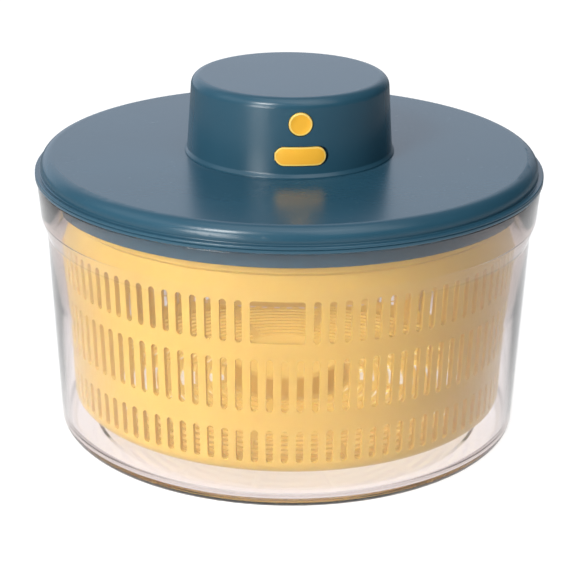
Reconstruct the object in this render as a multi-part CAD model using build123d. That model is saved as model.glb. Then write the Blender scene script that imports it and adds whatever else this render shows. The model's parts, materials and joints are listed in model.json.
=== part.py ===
from build123d import *
import math
import os

# Battery-driven salad spinner, in millimetres. The origin is the centre of the bowl's foot, +Z is up, and
# the power button faces -Y. A clear bowl holds a slotted basket that turns on a pin. The lid rests on the
# bowl's rim. The motor under the lid's dome turns the drive disc through two gear steps, and the disc turns
# the basket.

# Bowl
BOWL_FOOT_R = 118.3
BOWL_WAIST = (123.0, 104.5)
BOWL_SHOULDER = (125.9, 113.5)
BOWL_RIM = (127.3, 132.0)
BOWL_WALL = 2.2
BOWL_FLOOR = 3.8
FOOT_LIFT = 1.2

# Basket, at rest inside the bowl
BASKET_BOTTOM = 15.0
BASKET_FLOOR = 17.4
BASKET_TOP = 127.0
BASKET_FOOT_R = 111.8
BASKET_WALL_R = 116.9
BASKET_WALL = 2.2
BASKET_RIM_R = 118.4
BASKET_RIM_Z = 119.5
BASKET_TURN = -8.25
HUB_R = 29.4
HUB_TOP = 28.6
SLOT_COLUMNS = 100
SLOT_WIDTH = 3.4
SLOT_CORNER = 1.1
SLOT_CORNER_IN = 0.8
SLOT_TIERS = ((22.0, 38.8), (48.7, 75.4), (83.8, 105.3))
WINDOW_COLUMNS = 4
WINDOW_CORNER = 1.4
RIB_COUNT = 12
RIB_WIDTH = 3.6
RIB_PHASE = 20.0
FLOOR_RINGS = 14
FLOOR_RING_R = 35.0
FLOOR_RING_PITCH = 5.1
FLOOR_SLOT = 2.6

# Pivot between the bowl and the basket
PIN_R = 3.0
PIN_TOP = 20.4
BALL_R = 2.5
BALL_Z = 22.6
BUSH_R = 6.0

# Lid and dome
LID_R = 128.0
LID_REST = BOWL_RIM[1]
LID_FLANGE_TOP = 135.3
LID_TOP = 143.2
LID_PLATE = 2.4
LID_SIDE_R = 125.2
SKIRT_R = 122.6
SKIRT_WALL = 2.2
SKIRT_BOTTOM = 123.5
WELL_R = 40.6
WELL_FLOOR = 130.4
POST_R = 38.1
LID_EDGE = 6.0
DOME_R = 51.7
DOME_TOP_R = 49.2
DOME_TOP = 181.8
DOME_WALL = 2.4
DOME_BEAD = 2.2
DOME_FLARE = 1.1
DOME_BOSS_R = 47.2

# Button and charging port in the dome's front
BUTTON_R = 5.7
BUTTON_Z = 169.7
PORT_Z = 154.1
PORT_LENGTH = 24.7
PORT_HEIGHT = 8.9
PORT_DEPTH = 2.0
PORT_GAP = 0.45
NAIL_GAP = 0.9
FACE_PROUD = 0.35
HINGE_R = 0.5
HINGE_X = HINGE_R - PORT_LENGTH / 2
BOARD_FACE_Y = -40.0
BOARD_BACK_Y = -38.4

# Gear train: module, pressure angle and tooth counts of the two steps
MODULE = 0.8
PRESSURE_ANGLE = 25.0
OUTPUT_TEETH = 40
IDLER_SMALL = 12
IDLER_BIG = 36
MOTOR_TEETH = 12
BACKLASH = 0.12
STEP_TWO = (132.2, 137.0)
STEP_ONE = (138.0, 142.0)
SHAFT_R = 2.5
RUNNING = 0.05

# Motor and power
PLATE_Z = LID_TOP
PLATE_TOP = 145.7
PLATE_R = 43.8
MOTOR_R = 12.2
MOTOR_TOP = 171.5
CELL_R = 9.2
CELL_LENGTH = 65.0
CELL_Y = 22.0
CELL_Z = 156.4
TAB_X = (-32.3, 33.5)
TAB_FRONT_Y = 19.5

# Drive disc and where it grips the basket
DISC_TOP = 123.5
DISC_PLATE = 2.0
LUG_COUNT = 6
LUG_WIDTH = 9.0
LUG_R = 116.8

STEP_TWO_APART = MODULE * (OUTPUT_TEETH + IDLER_SMALL) / 2
STEP_ONE_APART = MODULE * (IDLER_BIG + MOTOR_TEETH) / 2
IDLER_ANGLE = 251.6
MOTOR_ANGLE = 134.4
IDLER = (
    STEP_TWO_APART * math.cos(math.radians(IDLER_ANGLE)),
    STEP_TWO_APART * math.sin(math.radians(IDLER_ANGLE)),
)
MOTOR = (
    IDLER[0] + STEP_ONE_APART * math.cos(math.radians(MOTOR_ANGLE)),
    IDLER[1] + STEP_ONE_APART * math.sin(math.radians(MOTOR_ANGLE)),
)
TERMINAL_FRONT_Y = MOTOR[1] - 1.2
LEAD_LEFT_X = MOTOR[0] - 8.0
LEAD_RIGHT_X = MOTOR[0] + 8.0


def outline(*points):
    """Flat closed face through (x, y) corners; a third value rounds that corner."""
    face = make_face(Polyline(*[point[:2] for point in points], close=True))
    for point in points:
        if len(point) == 3:
            corner = face.vertices().sort_by_distance((point[0], point[1], 0))[0]
            face = fillet(corner, point[2])
    return face


def turned(*points):
    """Solid of revolution about Z from (radius, height) corners."""
    return revolve(Plane.XZ * outline(*points), Axis.Z)


def rod(radius, low, high, at=(0, 0)):
    """Upright cylinder between two heights."""
    return Pos(at[0], at[1], (low + high) / 2) * Cylinder(radius, high - low)


def tube(outer, inner, low, high, at=(0, 0)):
    """Upright ring between two heights."""
    return rod(outer, low, high, at) - rod(inner, low - 1, high + 1, at)


def block(x, y, z, corner=0.0):
    """Box from (low, high) pairs, its upright edges rounded."""
    body = Pos(sum(x) / 2, sum(y) / 2, sum(z) / 2) * Box(x[1] - x[0], y[1] - y[0], z[1] - z[0])
    return fillet(body.edges().filter_by(Axis.Z), corner) if corner else body


def around(count, radius, start=0.0):
    """Places on a circle, as (x, y) pairs."""
    for turn in range(count):
        angle = math.radians(start + turn * 360 / count)
        yield radius * math.cos(angle), radius * math.sin(angle)


def screw(at, head_z, tip_z, head_r, head_high, shank_r):
    """Pan-head screw along Z with a cross recess; the head stands past head_z, away from the tip."""
    up = 1 if head_z > tip_z else -1
    shank = rod(shank_r, min(head_z, tip_z), max(head_z, tip_z))
    head = rod(head_r, min(0, up * head_high), max(0, up * head_high))
    rim = head.faces().sort_by(Axis.Z)[-1 if up > 0 else 0].edges()
    head = fillet(rim, head_high * 0.45)
    recess = Box(head_r * 1.15, head_r * 0.28, head_high) + Box(head_r * 0.28, head_r * 1.15, head_high)
    head -= Pos(0, 0, up * head_high) * recess
    return Pos(at[0], at[1], 0) * (shank + Pos(0, 0, head_z) * head)


def gear(teeth, low, high, bore, turn, at):
    """Spur gear with involute flanks; one tooth points along turn degrees."""
    pitch_r = MODULE * teeth / 2
    base_r = pitch_r * math.cos(math.radians(PRESSURE_ANGLE))
    tip_r = pitch_r + MODULE
    root_r = pitch_r - 1.25 * MODULE

    def half_tooth(radius):
        """Half of the tooth's angle at a radius, in radians."""
        lean = math.acos(min(1.0, base_r / radius))
        pitch_lean = math.radians(PRESSURE_ANGLE)
        swept = (math.tan(pitch_lean) - pitch_lean) - (math.tan(lean) - lean)
        return math.pi / (2 * teeth) - BACKLASH / (4 * pitch_r) + swept

    def polar(radius, angle):
        return radius * math.cos(angle), radius * math.sin(angle)

    start_r = max(base_r, root_r)
    middle_r = (start_r + tip_r) / 2
    step = 2 * math.pi / teeth
    lines = []
    for tooth in range(teeth):
        mid = math.radians(turn) + tooth * step
        root_half, half, tip_half = (half_tooth(r) for r in (start_r, middle_r, tip_r))
        foot_in, foot_out = polar(root_r, mid - root_half), polar(root_r, mid + root_half)
        low_in, low_out = polar(start_r, mid - root_half), polar(start_r, mid + root_half)
        tip_in, tip_out = polar(tip_r, mid - tip_half), polar(tip_r, mid + tip_half)
        if start_r > root_r:
            lines += [Line(foot_in, low_in), Line(low_out, foot_out)]
        lines.append(ThreePointArc(low_in, polar(middle_r, mid - half), tip_in))
        lines.append(ThreePointArc(tip_in, polar(tip_r, mid), tip_out))
        lines.append(ThreePointArc(tip_out, polar(middle_r, mid + half), low_out))
        valley = polar(root_r, mid + step / 2)
        lines.append(ThreePointArc(foot_out, valley, polar(root_r, mid + step - root_half)))
    wheel = extrude(make_face(lines), high - low)
    return Pos(at[0], at[1], low) * wheel - rod(bore, low - 1, high + 1, at)


def bowl():
    """Clear bowl: foot ring, tapered wall, stepped-out rim band and the pivot's boss."""
    shell = turned(
        (0, FOOT_LIFT), (100, FOOT_LIFT), (101.5, 0, 0.6), (BOWL_FOOT_R, 0, 6), (*BOWL_WAIST, 4),
        (*BOWL_SHOULDER, 4), (*BOWL_RIM, 0.8), (BOWL_RIM[0] - BOWL_WALL, BOWL_RIM[1], 0.6),
        (BOWL_SHOULDER[0] - BOWL_WALL, BOWL_SHOULDER[1], 4), (BOWL_WAIST[0] - BOWL_WALL, BOWL_WAIST[1], 4),
        (BOWL_FOOT_R - BOWL_WALL, BOWL_FLOOR, 7), (12, BOWL_FLOOR, 3), (6.4, 13, 1), (0, 13),
    )
    return shell - rod(PIN_R, 5, 14)


def pivot_pin():
    """Steel pin pressed into the bowl's boss, with a cup for the thrust ball."""
    pin = rod(PIN_R, 5, PIN_TOP)
    pin = chamfer(pin.edges().sort_by(Axis.Z)[0], 0.4)
    return pin - Pos(0, 0, BALL_Z) * Sphere(BALL_R + RUNNING)


def thrust_ball():
    """Hardened ball that carries the basket's weight."""
    return Pos(0, 0, BALL_Z) * Sphere(BALL_R)


def basket_bearing():
    """Acetal bush in the basket's hub, with a pocket that keeps the ball."""
    pocket_r = BALL_R + RUNNING
    body = rod(BUSH_R, 13.4, 27.2) - rod(PIN_R + RUNNING, 13, 21.4) - rod(pocket_r, 21, BALL_Z)
    return body - Pos(0, 0, BALL_Z) * Sphere(pocket_r)


def column_turns():
    """Angles of the slot columns, half a pitch off the window's centre."""
    pitch = 360 / SLOT_COLUMNS
    return [(column + 0.5) * pitch for column in range(SLOT_COLUMNS)]


def wall_slots():
    """One cutter per slot, and a wide window in place of four slots on the front and the back."""
    pitch = 360 / SLOT_COLUMNS
    side = WINDOW_COLUMNS * pitch / 2
    cutters = []
    for low, high in SLOT_TIERS:
        end, half = (high - low) / 2, SLOT_WIDTH / 2
        shape = outline(
            (half, end - SLOT_CORNER), (SLOT_CORNER_IN, end), (-SLOT_CORNER_IN, end),
            (-half, end - SLOT_CORNER), (-half, SLOT_CORNER - end), (-SLOT_CORNER_IN, -end),
            (SLOT_CORNER_IN, -end), (half, SLOT_CORNER - end),
        )
        slot = Pos(BASKET_RIM_R - 6, 0, 0) * extrude(Plane.YZ * shape, 9, both=True)
        for turn in column_turns():
            off_window = abs((turn + 90) % 180 - 90)
            if (low, high) == SLOT_TIERS[-1] and off_window < side:
                continue
            cutters.append(Rot(0, 0, turn) * Pos(0, 0, (low + high) / 2) * slot)
    low, high = SLOT_TIERS[-1]
    width = (WINDOW_COLUMNS - 1) * math.radians(pitch) * BASKET_WALL_R + SLOT_WIDTH
    window = Pos(BASKET_RIM_R - 6, 0, (low + high) / 2) * Box(18, width, high - low)
    window = fillet(window.edges().filter_by(Axis.X), WINDOW_CORNER)
    return cutters + [window, Rot(0, 0, 180) * window]


def floor_slots():
    """Arc slots in the floor, in rings, broken by the radial ribs."""
    cutters = []
    for ring in range(FLOOR_RINGS):
        radius = FLOOR_RING_R + ring * FLOOR_RING_PITCH
        inner, outer = radius - FLOOR_SLOT / 2, radius + FLOOR_SLOT / 2
        gap = math.degrees(math.asin(RIB_WIDTH / 2 / inner))
        sweep = 360 / RIB_COUNT - 2 * gap
        near, far = CenterArc((0, 0), inner, gap, sweep), CenterArc((0, 0), outer, gap, sweep)
        slot = extrude(make_face([near, far, Line(near @ 0, far @ 0), Line(near @ 1, far @ 1)]), 6)
        for rib in range(RIB_COUNT):
            turn = RIB_PHASE + rib * 360 / RIB_COUNT
            cutters.append(Rot(0, 0, turn) * Pos(0, 0, BASKET_BOTTOM - 2) * slot)
    return cutters


def rim_notches():
    """Notches inside the basket's rim that the drive disc's lugs drop into."""
    cutters = []
    for lug in range(LUG_COUNT):
        notch = block((112.0, LUG_R + 0.4), (-LUG_WIDTH / 2 - 0.5, LUG_WIDTH / 2 + 0.5), (123.8, 130))
        cutters.append(Rot(0, 0, lug * 360 / LUG_COUNT + 30) * notch)
    return cutters


def basket():
    """Slotted basket: one moulding with a raised hub over the pivot. It is turned to its rest place."""
    body = turned(
        (0, 27.2), (BUSH_R, 27.2), (BUSH_R, 13.4), (8.6, 13.4, 0.4), (8.6, 26.2, 1), (26.8, 26.2, 2),
        (27.6, BASKET_BOTTOM, 0.5), (BASKET_FOOT_R, BASKET_BOTTOM, 7), (BASKET_WALL_R, BASKET_RIM_Z - 1.6),
        (BASKET_RIM_R, BASKET_RIM_Z, 0.5), (BASKET_RIM_R, BASKET_TOP, 0.8),
        (BASKET_WALL_R - BASKET_WALL, BASKET_TOP, 0.8), (BASKET_WALL_R - BASKET_WALL, BASKET_RIM_Z - 1.6),
        (BASKET_FOOT_R - BASKET_WALL, BASKET_FLOOR, 5), (HUB_R + 1.6, BASKET_FLOOR, 2),
        (HUB_R, HUB_TOP, 2.6), (0, HUB_TOP),
    )
    for rib in range(RIB_COUNT):
        under = block((27.5, 103.0), (-0.9, 0.9), (BASKET_BOTTOM - 1.6, BASKET_BOTTOM + 0.5))
        body += Rot(0, 0, RIB_PHASE + rib * 360 / RIB_COUNT) * under
    body = body.cut(*floor_slots())
    body = body.cut(*wall_slots(), *rim_notches())
    return Rot(0, 0, BASKET_TURN - 90) * body


def lid():
    """Lid: flange on the bowl's rim, skirt inside it, ribs, and a central well that holds the gears."""
    body = turned(
        (4.5, 131.4), (6.5, 131.4, 0.4), (6.5, WELL_FLOOR, 0.6), (WELL_R, WELL_FLOOR, 1.5),
        (WELL_R, LID_TOP, 0.6), (LID_SIDE_R, LID_TOP, LID_EDGE), (LID_SIDE_R, LID_FLANGE_TOP, 0.5),
        (LID_R, LID_FLANGE_TOP, 0.7), (LID_R, 134.1), (LID_R - 0.5, 133.8), (LID_R, 133.5),
        (LID_R, LID_REST, 0.6), (SKIRT_R, LID_REST, 0.5), (SKIRT_R, SKIRT_BOTTOM, 0.8),
        (SKIRT_R - SKIRT_WALL, SKIRT_BOTTOM, 0.8), (SKIRT_R - SKIRT_WALL, 131), (LID_SIDE_R - 2.2, 134, 1),
        (LID_SIDE_R - 2.2, LID_TOP - LID_PLATE, LID_EDGE - 2.2),
        (WELL_R + LID_PLATE, LID_TOP - LID_PLATE, 1.5), (WELL_R + LID_PLATE, WELL_FLOOR - LID_PLATE, 1.5),
        (6.5, WELL_FLOOR - LID_PLATE, 1), (6.5, 125.4, 0.4), (4.5, 125.4),
    )
    for rib in range(RIB_COUNT):
        under = LID_TOP - LID_PLATE
        stiffener = block((WELL_R + 1, LID_SIDE_R - 3), (-0.8, 0.8), (under - 3, under + 0.5))
        body += Rot(0, 0, 15 + rib * 360 / RIB_COUNT) * stiffener
    for place in plate_posts():
        body += rod(2.8, WELL_FLOOR - 0.5, PLATE_Z, place)
        body -= rod(1.25, PLATE_Z - 9, PLATE_Z + 1, place)
    body += rod(4.0, WELL_FLOOR - 0.5, 131.8, IDLER)
    body -= rod(1.5, 129.0, 133, IDLER)
    for place in dome_bosses():
        body -= rod(1.7, LID_TOP - 6, LID_TOP + 1, place)
    return body


def plate_posts():
    """Places of the three posts that carry the gear plate."""
    return [(POST_R * math.cos(math.radians(a)), POST_R * math.sin(math.radians(a))) for a in (90, 230, 310)]


def dome_bosses():
    """Places of the four screw bosses inside the dome."""
    turns = [math.radians(a) for a in (20, 160, 200, 340)]
    return [(DOME_BOSS_R * math.cos(turn), DOME_BOSS_R * math.sin(turn)) for turn in turns]


def dome_form(grow):
    """The dome's outer form without its bead, grown or shrunk sideways, for cutting what follows its face."""
    lean = (DOME_R - DOME_TOP_R) / (DOME_TOP - LID_TOP)
    low, high = LID_TOP - 4, DOME_TOP + 4
    return turned((0, low), (DOME_R + 4 * lean + grow, low), (DOME_TOP_R - 4 * lean + grow, high), (0, high))


def pill(length, height, near, far, at=(0, PORT_Z)):
    """Upright pill-shaped prism along Y, between two depths."""
    shape = Plane.XZ * Pos(at[0], at[1]) * SlotOverall(length, height)
    return Pos(0, near, 0) * extrude(shape, near - far)


def facing_rod(radius, near, far, x=0.0, z=BUTTON_Z):
    """Round prism along Y, between two depths."""
    return Pos(x, (near + far) / 2, z) * Rot(90, 0, 0) * Cylinder(radius, abs(near - far))


def motor_dome():
    """Dome over the motor: bead at its foot, button hole, and a recess with the port's opening."""
    shell = turned(
        (DOME_R + DOME_FLARE, LID_TOP), (DOME_R + DOME_FLARE, LID_TOP + 0.6, 0.4),
        (DOME_R - 0.1, LID_TOP + DOME_BEAD, 1.2), (DOME_TOP_R, DOME_TOP, 5), (0, DOME_TOP),
        (0, DOME_TOP - DOME_WALL), (DOME_TOP_R - DOME_WALL + 0.1, DOME_TOP - DOME_WALL, 2.8),
        (DOME_R - DOME_WALL, LID_TOP),
    )
    pad_in, pad_out = DOME_R - 5.6, DOME_R - 2.3
    pad = turned((pad_in, PORT_Z - 7), (pad_out, PORT_Z - 7), (pad_out, PORT_Z + 7), (pad_in, PORT_Z + 7))
    shell += pad & block((-16, 16), (-56, -40), (PORT_Z - 9, PORT_Z + 9))
    for place in dome_bosses():
        shell += rod(3.0, LID_TOP, LID_TOP + 12, place)
        shell -= rod(1.25, LID_TOP - 1, LID_TOP + 10, place)
    shell -= facing_rod(BUTTON_R + 0.3, -56, -44)
    length, height = PORT_LENGTH + 2 * PORT_GAP + NAIL_GAP, PORT_HEIGHT + 2 * PORT_GAP
    shell -= pill(length, height, -60, -40, (NAIL_GAP / 2, PORT_Z)) - dome_form(-PORT_DEPTH)
    return shell - pill(9.6, 4.0, -60, -40)


def hinge_place():
    """Place where the port cover's left end turns, level with the dome's face."""
    face_r = DOME_R - (DOME_R - DOME_TOP_R) * (PORT_Z - LID_TOP) / (DOME_TOP - LID_TOP)
    return HINGE_X, -math.sqrt(face_r ** 2 - HINGE_X ** 2)


def port_cover():
    """Soft pill-shaped cover, thin and round at the left end where it turns, with a plug behind it."""
    face = pill(PORT_LENGTH, PORT_HEIGHT, -60, -40)
    thin = face & (dome_form(FACE_PROUD) - dome_form(-HINGE_R))
    thick = face & (dome_form(FACE_PROUD) - dome_form(-PORT_DEPTH + 0.25))
    thick &= block((HINGE_X + 3, 20), (-60, -40), (PORT_Z - 9, PORT_Z + 9))
    knuckle = rod(HINGE_R, PORT_Z - 1.9, PORT_Z + 1.9, hinge_place())
    plug = pill(8.4, 2.8, -49.6, -47.6)
    return thin + thick + knuckle + plug


def power_button():
    """Round button whose face follows the dome, with a flange behind the wall."""
    face = facing_rod(BUTTON_R, -56, -45.2) & dome_form(FACE_PROUD + 0.2)
    flange = facing_rod(BUTTON_R + 0.9, -46.1, -45.2)
    return face + flange


def charge_socket():
    """Charging socket's metal shell, open at its mouth, with a contact tongue."""
    shell = pill(8.9, 3.2, -47.0, BOARD_FACE_Y) - pill(8.3, 2.6, -48.0, BOARD_FACE_Y - 1.2)
    return shell + block((-3.3, 3.3), (-46.2, BOARD_FACE_Y - 1.0), (PORT_Z - 0.35, PORT_Z + 0.35))


def switch_body():
    """Push switch on the board, behind the button."""
    return block((-3, 3), (-43.0, BOARD_FACE_Y), (BUTTON_Z - 3, BUTTON_Z + 3)) - facing_rod(1.8, -44, -40.6)


def switch_plunger():
    """Plunger that joins the button and slides in the switch."""
    return facing_rod(1.7, -45.2, -41.6)


def control_board():
    """Upright circuit board with its driver chip, coil and capacitors."""
    board = block((-20, 20), (BOARD_FACE_Y, BOARD_BACK_Y), (PLATE_TOP, 176.5))
    board -= [facing_rod(1.1, -42, -36, x, z) for x, z in board_screw_places()]
    board += block((-15.5, -10.5), (BOARD_FACE_Y - 1.4, BOARD_FACE_Y), (155, 160))
    board += facing_rod(2.6, BOARD_FACE_Y, BOARD_FACE_Y - 3, 13.0, 160.0)
    board += block((-15, -8), (BOARD_BACK_Y, BOARD_BACK_Y + 4.0), (162.0, 167.0))
    return board


def board_screw_places():
    """Places of the two screws that hold the board, as (x, z)."""
    return [(-16.5, 151.0), (16.5, 151.0)]


def board_screws():
    """Two screws from the board into the gear plate's uprights."""
    turn = Rot(90, 0, 0)
    one = turn * screw((0, 0), -BOARD_FACE_Y, -BOARD_FACE_Y - 6, 2.0, 1.3, 0.95)
    return [Pos(x, 0, z) * one for x, z in board_screw_places()]


def gear_plate():
    """Plate over the gears: carries the motor, the upper bush, the idler pin and the board."""
    plate = rod(PLATE_R, PLATE_Z, PLATE_TOP)
    plate += rod(6.5, PLATE_TOP - 1, 148.5)
    for x, _ in board_screw_places():
        plate += block((x - 2.6, x + 2.6), (BOARD_BACK_Y, BOARD_BACK_Y + 6.8), (PLATE_TOP - 1, 154.5))
    for x, z in board_screw_places():
        plate -= facing_rod(0.95, BOARD_FACE_Y, BOARD_FACE_Y + 7, x, z)
    for place in plate_posts():
        plate -= rod(1.5, PLATE_Z - 1, PLATE_TOP + 1, place)
    for place in motor_screw_places():
        plate -= rod(1.4, PLATE_Z - 1, PLATE_TOP + 1, place)
    plate -= rod(4.5, PLATE_Z - 1, 150)
    plate -= rod(1.5, PLATE_Z - 1, 145.2, IDLER)
    return plate - rod(3.2, PLATE_Z - 1, PLATE_TOP + 1, MOTOR)


def motor_screw_places():
    """Places of the motor's two screws, square to the line from the idler."""
    across = math.radians(MOTOR_ANGLE + 90)
    return [(MOTOR[0] + s * 8.5 * math.cos(across), MOTOR[1] + s * 8.5 * math.sin(across)) for s in (-1, 1)]


def motor_can():
    """Drawn steel can with its front bearing boss and two tapped holes."""
    can = rod(MOTOR_R, PLATE_TOP, MOTOR_TOP, MOTOR)
    can -= rod(MOTOR_R - 0.9, PLATE_TOP + 1.2, MOTOR_TOP + 1, MOTOR)
    can += tube(3.0, 1.2, PLATE_TOP - 1.6, PLATE_TOP + 3, MOTOR)
    can -= rod(1.2, PLATE_TOP - 3, PLATE_TOP + 4, MOTOR)
    for place in motor_screw_places():
        can -= rod(1.15, PLATE_TOP - 1, PLATE_TOP + 2, place)
    return can


def motor_magnets():
    """Two arc magnets inside the can."""
    ring = tube(MOTOR_R - 0.9, MOTOR_R - 3.0, 150.0, 167.0, MOTOR)
    gap = block((MOTOR[0] - 20, MOTOR[0] + 20), (MOTOR[1] - 2.5, MOTOR[1] + 2.5), (149, 168))
    return (ring - gap).solids()


def motor_end_cap():
    """Plastic end cap with the rear bearing and two terminals."""
    cap = rod(MOTOR_R, MOTOR_TOP, MOTOR_TOP + 2.2, MOTOR)
    cap = fillet(cap.edges().sort_by(Axis.Z)[-1], 0.8)
    cap += rod(3.2, MOTOR_TOP + 2.2, MOTOR_TOP + 4.0, MOTOR)
    cap -= rod(1.2, MOTOR_TOP - 1, MOTOR_TOP + 3.2, MOTOR)
    for x in (LEAD_LEFT_X, LEAD_RIGHT_X):
        cap += block((x - 0.3, x + 0.3), (MOTOR[1] - 1.2, MOTOR[1] + 1.2), (MOTOR_TOP + 2.0, MOTOR_TOP + 5.0))
    return cap


def rotor_core():
    """Slotted rotor stack on the motor's shaft."""
    core = rod(8.6, 151.0, 166.0, MOTOR) - rod(1.15, 150, 167, MOTOR)
    for x, y in around(5, 6.6):
        core -= rod(1.6, 150, 167, (MOTOR[0] + x, MOTOR[1] + y))
    for x, y in around(5, 8.6):
        core -= rod(0.7, 150, 167, (MOTOR[0] + x, MOTOR[1] + y))
    return core


def commutator():
    """Copper commutator above the rotor."""
    ring = tube(3.0, 1.15, 167.0, 170.8, MOTOR)
    for x, y in around(3, 3.0):
        ring -= rod(0.3, 166, 172, (MOTOR[0] + x, MOTOR[1] + y))
    return ring


def motor_shaft():
    """Motor shaft from the pinion to the rear bearing."""
    return rod(1.15, 137.6, MOTOR_TOP + 3.0, MOTOR)


def output_shaft():
    """Steel shaft from the drive disc up to the gear plate, with a tapped lower end."""
    shaft = rod(SHAFT_R, 113.6, 148.3) - rod(1.25, 113, 120)
    shaft -= tube(SHAFT_R + 1, SHAFT_R - 0.4, 131.5, 132.1)
    return shaft


def retaining_ring():
    """Ring in the shaft's groove, resting on the lower bush."""
    ring = tube(4.4, SHAFT_R - 0.4, 131.5, 132.1)
    return ring - block((0, 6), (-1.2, 1.2), (131, 133))


def bush(low, high):
    """Sintered bush between two heights."""
    return tube(4.5, SHAFT_R + RUNNING, low, high)


def shaft_seal():
    """Lip seal under the lower bush."""
    lip_r = SHAFT_R + 0.06
    return turned((4.5, 125.5), (4.5, 127.2), (3.2, 127.2), (lip_r, 126.4), (lip_r, 126.0), (3.4, 125.5))


def drive_disc():
    """Disc under the lid: hub, dished plate with drain holes, and lugs that grip the basket's rim."""
    low = DISC_TOP - DISC_PLATE
    body = turned(
        (SHAFT_R, 112.8), (7.0, 112.8, 0.6), (7.4, low, 1.5), (104, low, 1), (108.5, 124.3), (112.4, 124.3),
        (112.4, 126.4), (107.6, 126.4), (103, DISC_TOP, 1), (SHAFT_R, DISC_TOP),
    )
    for x, y in around(12, 70.0, 15):
        body -= rod(9.0, low - 1, DISC_TOP + 1, (x, y))
    for lug in range(LUG_COUNT):
        tab = block((111.0, LUG_R), (-LUG_WIDTH / 2, LUG_WIDTH / 2), (124.3, 126.4))
        body += Rot(0, 0, lug * 360 / LUG_COUNT + 30 + BASKET_TURN - 90) * tab
    for rib in range(6):
        stiffener = block((6.5, 58.0), (-0.9, 0.9), (low - 3, low + 0.5))
        body += Rot(0, 0, 60 * rib) * stiffener
    return body


def idler_gear():
    """Compound idler: a big wheel over a small pinion, in one moulding."""
    bore = 1.5 + RUNNING
    gap_phase = IDLER_ANGLE + 180 + 180 / IDLER_SMALL
    small = gear(IDLER_SMALL, *STEP_TWO, bore, gap_phase, IDLER)
    big = gear(IDLER_BIG, *STEP_ONE, bore, MOTOR_ANGLE, IDLER)
    hub = tube(3.7, bore, STEP_TWO[1] - 0.5, STEP_ONE[0] + 0.5, IDLER)
    return small + hub + big


def output_gear():
    """Large gear on the output shaft."""
    wheel = gear(OUTPUT_TEETH, *STEP_TWO, SHAFT_R, IDLER_ANGLE, (0, 0))
    for x, y in around(6, 9.6, 30):
        wheel -= rod(2.4, STEP_TWO[0] - 1, STEP_TWO[1] + 1, (x, y))
    return wheel


def motor_pinion():
    """Brass pinion on the motor's shaft."""
    return gear(MOTOR_TEETH, *STEP_ONE, 1.15, MOTOR_ANGLE + 180 + 180 / MOTOR_TEETH, MOTOR)


def battery_cell():
    """Cylindrical cell lying along X, with its raised positive end."""
    lying = Pos(0, CELL_Y, CELL_Z) * Rot(0, 90, 0)
    can = Cylinder(CELL_R, CELL_LENGTH - 1)
    can = fillet(can.edges().filter_by(GeomType.CIRCLE), 0.8)
    return lying * (can + Pos(0, 0, CELL_LENGTH / 2) * Cylinder(3.0, 2.0))


def battery_cradle():
    """Tray that holds the cell, open at the top, standing on the gear plate."""
    tray = block((-35.5, 35.5), (CELL_Y - 9.6, CELL_Y + 9.6), (PLATE_TOP, 158.0), 2.5)
    return tray - Pos(0, CELL_Y, CELL_Z) * Rot(0, 90, 0) * Cylinder(CELL_R + 0.1, 68.4)


def battery_tabs():
    """Nickel strips on the cell's two ends, standing up to take the leads."""
    return [block((x, x + 0.3), (TAB_FRONT_Y, CELL_Y + 2.5), (151.0, 168.0)) for x in TAB_X]


def wire(points, radius):
    """Insulated lead along straight runs joined by arcs as large as the runs allow."""
    radii = []
    for before, here, after in zip(points, points[1:], points[2:]):
        first, second = Vector(*here) - Vector(*before), Vector(*after) - Vector(*here)
        half_turn = math.radians(first.get_angle(second)) / 2
        radii.append(0.45 * min(first.length, second.length) / math.tan(half_turn))
    path = FilletPolyline(*points, radius=radii)
    print("lead", round(path.length, 1), "mm, bend radii", [round(r, 1) for r in radii])
    return sweep(Plane(path @ 0, z_dir=path % 0) * Circle(radius), path)


# Routes of the two battery leads and the two motor leads, from their terminals to the back of the board.
BATTERY_ROUTES = (
    ((33.65, TAB_FRONT_Y, 167.0), (33.65, 12.5, 167.0), (31.5, 3.5, 167.4), (27.5, -7.0, 168.0),
     (22.0, -17.0, 168.6), (17.0, -25.5, 169.0), (15.0, -32.5, 169.0), (15.0, BOARD_BACK_Y, 169.0)),
    ((-32.15, TAB_FRONT_Y, 167.0), (-32.15, 13.5, 167.0), (-35.5, 6.5, 166.8), (-38.0, -3.5, 166.5),
     (-36.0, -14.5, 166.0), (-29.0, -23.0, 165.5), (-21.0, -28.5, 165.0), (-18.0, -33.5, 165.0),
     (-18.0, BOARD_BACK_Y, 165.0)),
)
MOTOR_ROUTES = (
    ((LEAD_LEFT_X, TERMINAL_FRONT_Y, 175.3), (LEAD_LEFT_X, -12.0, 175.3), (-25.5, -18.0, 175.0),
     (-19.5, -24.5, 174.2), (-14.0, -31.5, 173.5), (-14.0, BOARD_BACK_Y, 173.5)),
    ((LEAD_RIGHT_X, TERMINAL_FRONT_Y, 175.3), (LEAD_RIGHT_X, -12.0, 175.3), (-9.5, -18.0, 175.2),
     (-5.0, -24.5, 174.6), (-2.0, -31.5, 173.6), (-2.0, BOARD_BACK_Y, 173.6)),
)


def dome_screws():
    """Four screws from under the lid into the dome's bosses."""
    return [screw(place, LID_TOP - LID_PLATE, LID_TOP + 8, 2.7, 2.0, 1.25) for place in dome_bosses()]


def gear_plate_screws():
    """Three screws that hold the gear plate on its posts."""
    return [screw(place, PLATE_TOP, PLATE_Z - 8, 2.6, 1.8, 1.25) for place in plate_posts()]


def motor_screws():
    """Two screws from under the gear plate into the motor."""
    return [screw(place, PLATE_Z, PLATE_TOP + 1.1, 2.1, 1.4, 1.15) for place in motor_screw_places()]


def disc_screw():
    """Screw that holds the drive disc on the shaft."""
    return screw((0, 0), 112.8, 119, 3.2, 2.2, 1.25)


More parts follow.
